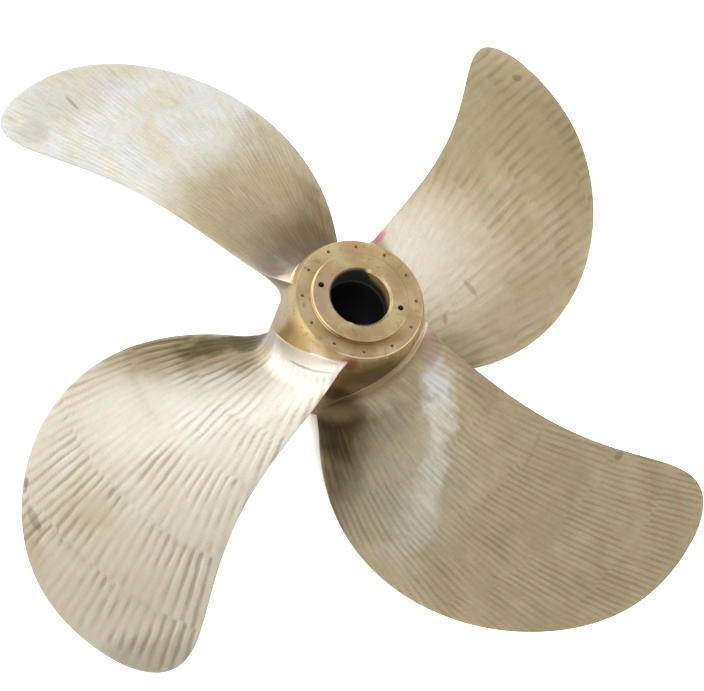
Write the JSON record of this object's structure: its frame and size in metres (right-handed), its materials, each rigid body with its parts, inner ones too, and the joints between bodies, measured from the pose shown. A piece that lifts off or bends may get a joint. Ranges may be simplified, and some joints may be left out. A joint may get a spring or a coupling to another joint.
{
  "type": "ship propeller",
  "caption": "Fixed-pitch ship propeller with skewed twisted blades, a barrel hub with a raised spigot face and a tapered shaft bore.",
  "frame": {"origin": "centre of the hub's forward face, on the shaft axis, which is also the middle of the face that the propeller lies on", "axes": "+Z along the shaft axis, pointing aft, out of the spigot face that the propeller cap bolts to; +X through one jacking hole, half way between two blade roots"},
  "size_m": [1.432, 1.432, 0.285],
  "materials": {
    "machined_bronze": "turned nickel-aluminium bronze, golden, satin",
    "ground_bronze": "hand-ground nickel-aluminium bronze, pale, with grinding stripes"
  },
  "bodies": {
    "root": {"hub": "machined_bronze", "blade_1": "ground_bronze", "blade_2": "ground_bronze", "blade_3": "ground_bronze", "blade_4": "ground_bronze"}
  },
  "joints": []
}
